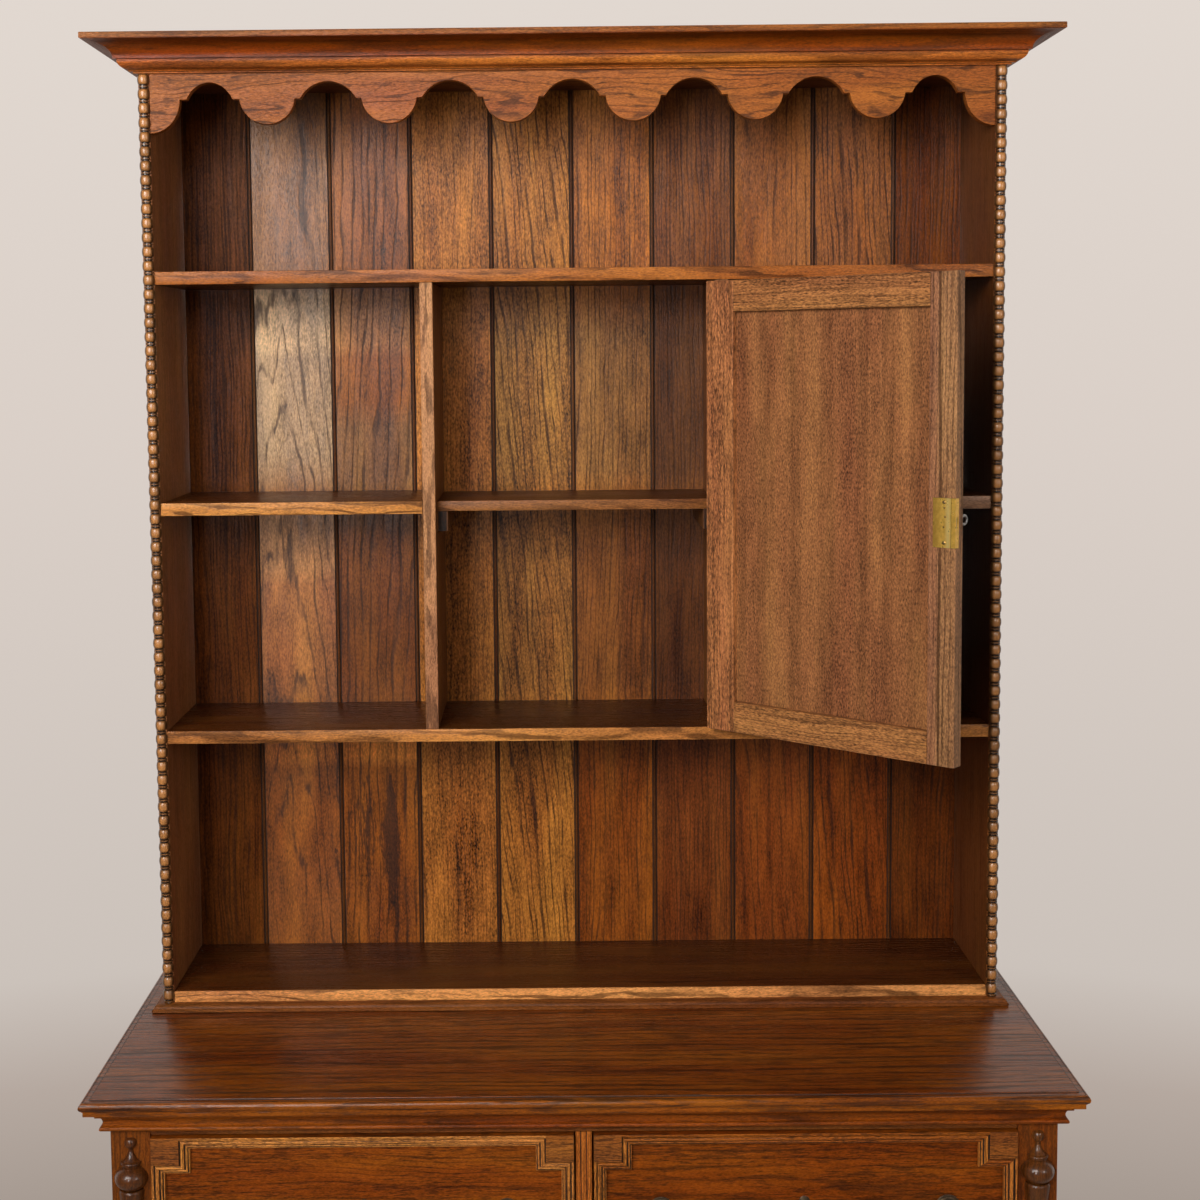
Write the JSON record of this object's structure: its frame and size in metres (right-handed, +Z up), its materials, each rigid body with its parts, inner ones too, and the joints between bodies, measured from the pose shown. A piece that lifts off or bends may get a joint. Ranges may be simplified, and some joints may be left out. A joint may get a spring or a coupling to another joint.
{
  "type": "welsh dresser",
  "caption": "Tall oak dresser: open plate rack with scalloped frieze, bobbin-turned edges and a small hinged cupboard, on a drawered base with turned legs and a pot board.",
  "frame": {"origin": "middle of the footprint at floor level", "axes": "+X to the right seen from the front, front towards -Y, +Z up"},
  "size_m": [1.2718, 0.52, 2.1275],
  "materials": {
    "oak": "waxed mid-brown oak",
    "dark_oak": "waxed dark oak",
    "drawer_lining": "bare oak lining",
    "brass": "aged brass",
    "dark_bronze": "dark patinated brass",
    "steel": "worn steel"
  },
  "bodies": {
    "carcass": {"base_top": "dark_oak", "under_top_moulding": "oak", "base_back": "dark_oak", "top_rail": "oak", "bottom_rail": "oak", "dust_board": "dark_oak", "muntin": "oak", "pot_board": "dark_oak", "stretcher_front": "oak", "stretcher_left": "oak", "stretcher_right": "oak", "front_leg_left": "oak", "back_leg_left": "oak", "side_panel_left": "oak", "split_baluster_left": "dark_oak", "rack_side_left": "oak", "divider_left": "oak", "bobbin_strip_left": "dark_oak", "shelf_middle_left": "oak", "front_leg_right": "oak", "back_leg_right": "oak", "side_panel_right": "oak", "split_baluster_right": "dark_oak", "rack_side_right": "oak", "divider_right": "oak", "bobbin_strip_right": "dark_oak", "shelf_middle_right": "oak", "rack_floor": "oak", "shelf_lower": "oak", "shelf_top": "oak", "rack_top_board": "oak", "cupboard_shelf": "oak", "back_boards": "oak", "frieze": "oak", "cornice": "oak", "rack_plinth": "oak", "hinge_lower_frame_leaf": "brass", "hinge_upper_frame_leaf": "brass"},
    "drawer_left": {"drawer_left_front": "oak", "drawer_left_box": "drawer_lining", "drawer_left_plate_a": "dark_bronze", "drawer_left_plate_b": "dark_bronze"},
    "drawer_left_drop_a": {"drawer_left_drop_a": "dark_bronze"},
    "drawer_left_drop_b": {"drawer_left_drop_b": "dark_bronze"},
    "drawer_right": {"drawer_right_front": "oak", "drawer_right_box": "drawer_lining", "drawer_right_plate_a": "dark_bronze", "drawer_right_plate_b": "dark_bronze"},
    "drawer_right_drop_a": {"drawer_right_drop_a": "dark_bronze"},
    "drawer_right_drop_b": {"drawer_right_drop_b": "dark_bronze"},
    "door": {"door_hinge_stile": "oak", "door_lock_stile": "oak", "door_top_rail": "oak", "door_bottom_rail": "oak", "door_panel": "oak", "hinge_lower_door_leaf": "brass", "hinge_upper_door_leaf": "brass", "lock_case": "brass"},
    "key": {"key": "steel"},
    "bolt": {"lock_bolt": "steel"}
  },
  "joints": [
    {"name": "drawer_left_slide", "type": "slide", "parent": "carcass", "child": "drawer_left", "axis": [0, -1, 0], "range_m": [0, 0.32]},
    {"name": "drawer_left_drop_a_swing", "type": "hinge", "parent": "drawer_left", "child": "drawer_left_drop_a", "pos_m": [-0.44915, -0.2355, 0.6592], "axis": [-1, 0, 0], "range_deg": [-3, 115]},
    {"name": "drawer_left_drop_b_swing", "type": "hinge", "parent": "drawer_left", "child": "drawer_left_drop_b", "pos_m": [-0.09515, -0.2355, 0.6592], "axis": [-1, 0, 0], "range_deg": [-3, 115]},
    {"name": "drawer_right_slide", "type": "slide", "parent": "carcass", "child": "drawer_right", "axis": [0, -1, 0], "range_m": [0, 0.32]},
    {"name": "drawer_right_drop_a_swing", "type": "hinge", "parent": "drawer_right", "child": "drawer_right_drop_a", "pos_m": [0.09515, -0.2355, 0.6592], "axis": [-1, 0, 0], "range_deg": [-3, 115]},
    {"name": "drawer_right_drop_b_swing", "type": "hinge", "parent": "drawer_right", "child": "drawer_right_drop_b", "pos_m": [0.44915, -0.2355, 0.6592], "axis": [-1, 0, 0], "range_deg": [-3, 115]},
    {"name": "door_swing", "type": "hinge", "parent": "carcass", "child": "door", "pos_m": [0.1879, 0.0457, 1.5], "axis": [0, 0, 1], "range_deg": [-138, 20]},
    {"name": "key_turn", "type": "hinge", "parent": "door", "child": "key", "pos_m": [0.45133, -0.19661, 1.501], "axis": [-0.6691, -0.7431, 0], "range_deg": [0, 90]},
    {"name": "bolt_throw", "type": "slide", "parent": "door", "child": "bolt", "axis": [0.7431, -0.6691, 0], "range_m": [0, 0.007]}
  ],
  "couplings": [
    {"joint": "bolt_throw", "follows": "key_turn", "m_per_rad": 0.00445}
  ]
}
